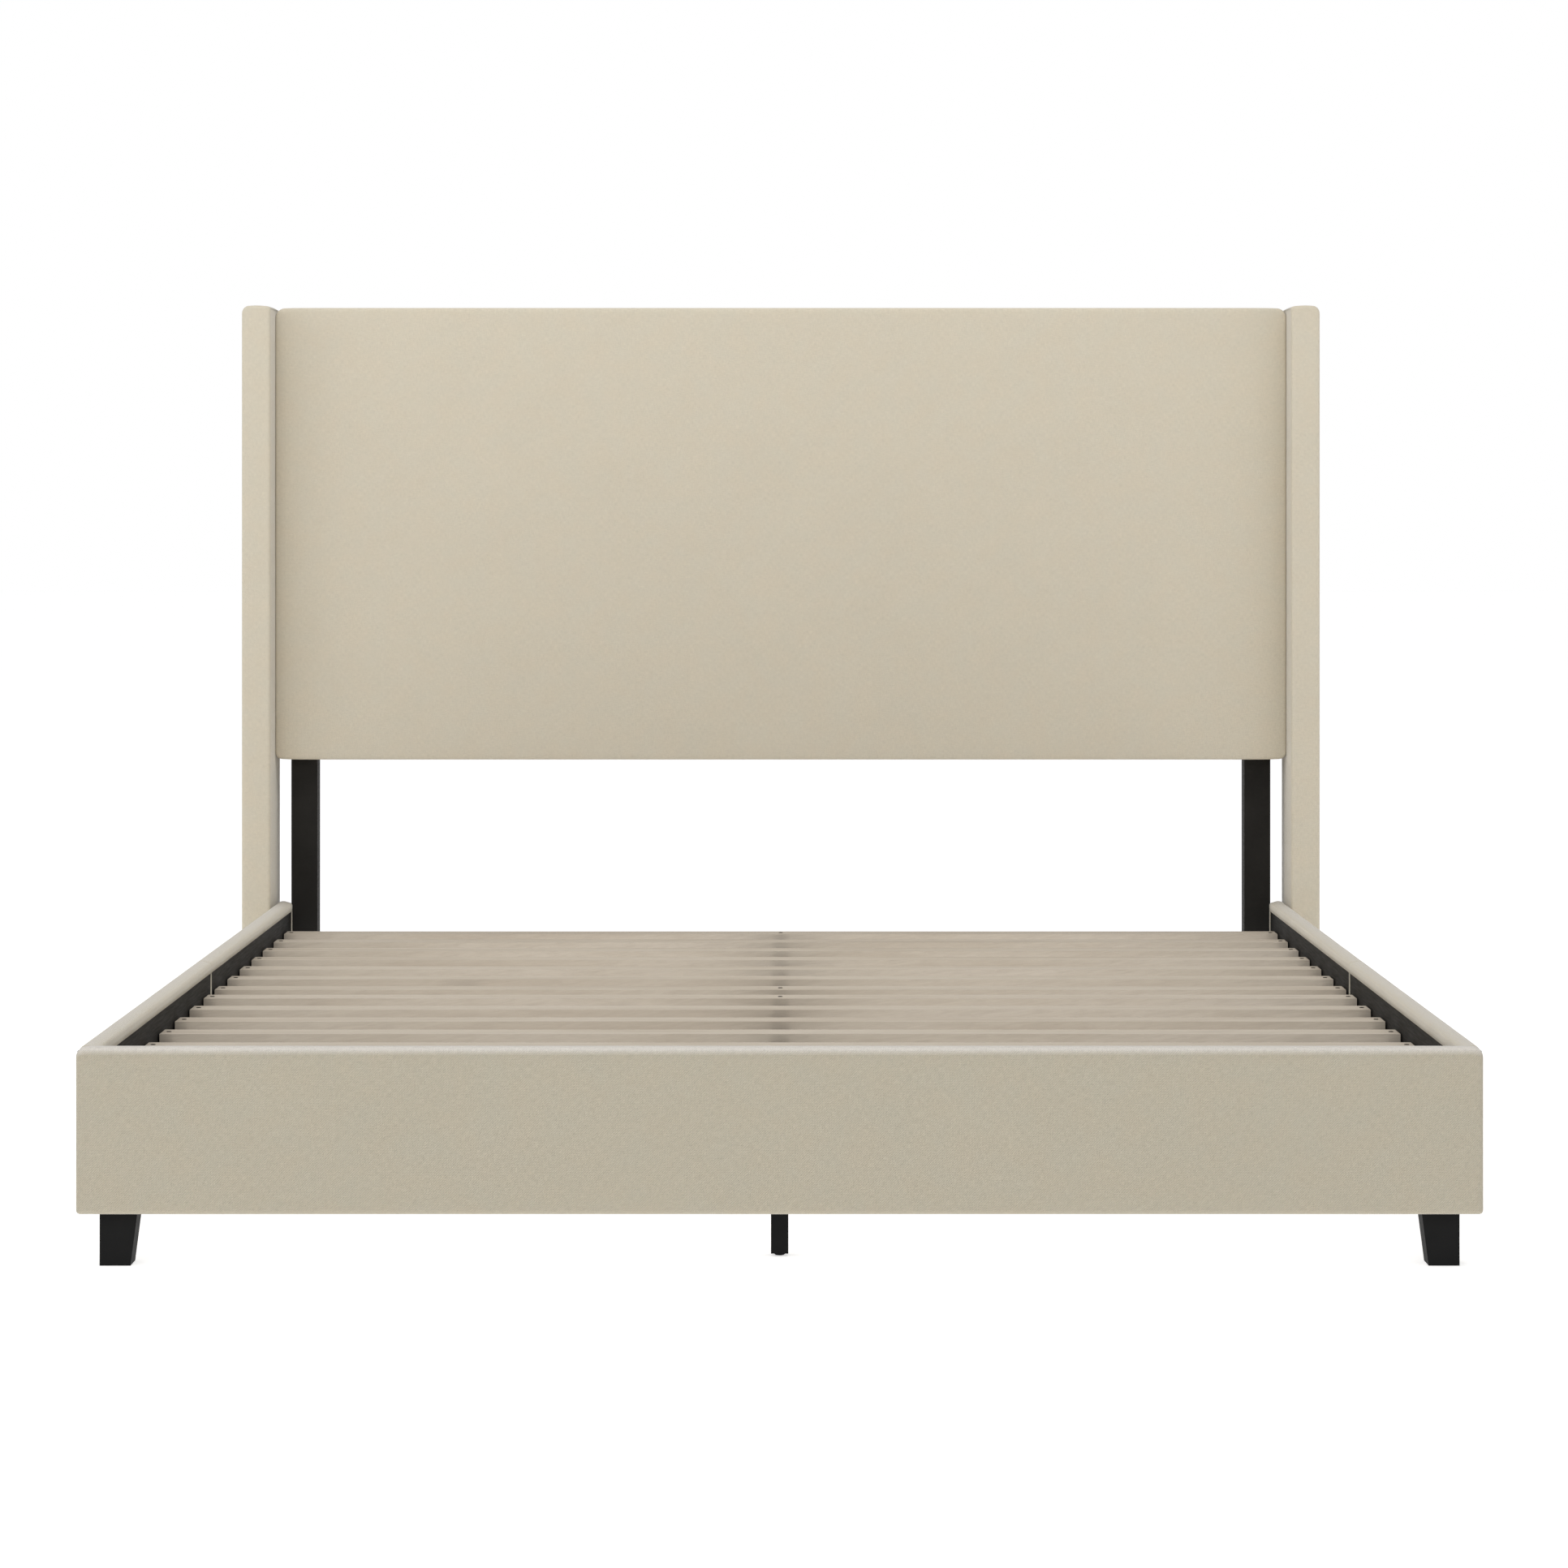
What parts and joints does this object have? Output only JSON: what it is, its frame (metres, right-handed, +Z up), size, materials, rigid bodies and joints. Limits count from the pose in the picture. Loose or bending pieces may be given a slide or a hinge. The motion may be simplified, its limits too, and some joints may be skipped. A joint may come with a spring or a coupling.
{
  "type": "upholstered headboard bed",
  "caption": "Queen-size bed frame with a padded fabric headboard and side wings, padded low side rails, a padded footboard, wooden slats and a centre beam on levelling legs.",
  "frame": {"origin": "on the floor, under the middle of the whole bed's length and width", "axes": "+X to the right seen from the foot, +Y from the foot towards the headboard, +Z up"},
  "size_m": [1.678, 2.142, 1.185],
  "materials": {
    "upholstery_fabric": "woven, matt",
    "footboard_fabric": "diagonal weave, matt",
    "back_cloth": "non-woven, matt",
    "foam": "open-cell foam",
    "plywood": "raw plywood",
    "slat_wood": "pale, matt lacquer",
    "black_board": "black film, satin",
    "black_steel": "black powder coat",
    "black_plastic": "moulded, matt"
  },
  "bodies": {
    "frame": {"center_beam_front": "black_steel", "center_beam_rear": "black_steel", "center_beam_sleeve": "black_steel", "center_leg_front": "black_steel", "center_leg_middle": "black_steel", "center_leg_rear": "black_steel", "foot_bracket_left": "black_steel", "foot_bracket_right": "black_steel", "footboard_board": "black_board", "footboard_cover": "footboard_fabric", "front_foot_left": "black_plastic", "front_foot_right": "black_plastic", "head_bracket_left": "black_steel", "head_bracket_right": "black_steel", "headboard_back_cloth": "back_cloth", "headboard_board": "plywood", "headboard_bottom_rail": "plywood", "headboard_cover": "upholstery_fabric", "headboard_foam": "foam", "headboard_leg_left": "black_board", "headboard_leg_right": "black_board", "headboard_stile_left": "plywood", "headboard_stile_right": "plywood", "headboard_top_rail": "plywood", "rail_joint_plate_left": "black_steel", "rail_joint_plate_right": "black_steel", "side_rail_cover_left_front": "upholstery_fabric", "side_rail_cover_left_rear": "upholstery_fabric", "side_rail_cover_right_front": "upholstery_fabric", "side_rail_cover_right_rear": "upholstery_fabric", "side_rail_left_front": "black_board", "side_rail_left_rear": "black_board", "side_rail_right_front": "black_board", "side_rail_right_rear": "black_board", "slat_01": "slat_wood", "slat_02": "slat_wood", "slat_03": "slat_wood", "slat_04": "slat_wood", "slat_05": "slat_wood", "slat_06": "slat_wood", "slat_07": "slat_wood", "slat_08": "slat_wood", "slat_09": "slat_wood", "slat_10": "slat_wood", "slat_11": "slat_wood", "slat_12": "slat_wood", "slat_13": "slat_wood", "slat_14": "slat_wood", "slat_ledge_left_front": "black_board", "slat_ledge_left_rear": "black_board", "slat_ledge_right_front": "black_board", "slat_ledge_right_rear": "black_board", "wing_left_core": "plywood", "wing_left_cover": "upholstery_fabric", "wing_right_core": "plywood", "wing_right_cover": "upholstery_fabric"},
    "levelling_foot_front": {"levelling_foot_front": "black_plastic"},
    "levelling_foot_middle": {"levelling_foot_middle": "black_plastic"},
    "levelling_foot_rear": {"levelling_foot_rear": "black_plastic"}
  },
  "joints": [
    {"name": "levelling_foot_front_screw", "type": "slide", "parent": "frame", "child": "levelling_foot_front", "axis": [0, 0, -1], "range_m": [0, 0.01]},
    {"name": "levelling_foot_middle_screw", "type": "slide", "parent": "frame", "child": "levelling_foot_middle", "axis": [0, 0, -1], "range_m": [0, 0.01]},
    {"name": "levelling_foot_rear_screw", "type": "slide", "parent": "frame", "child": "levelling_foot_rear", "axis": [0, 0, -1], "range_m": [0, 0.01]}
  ]
}
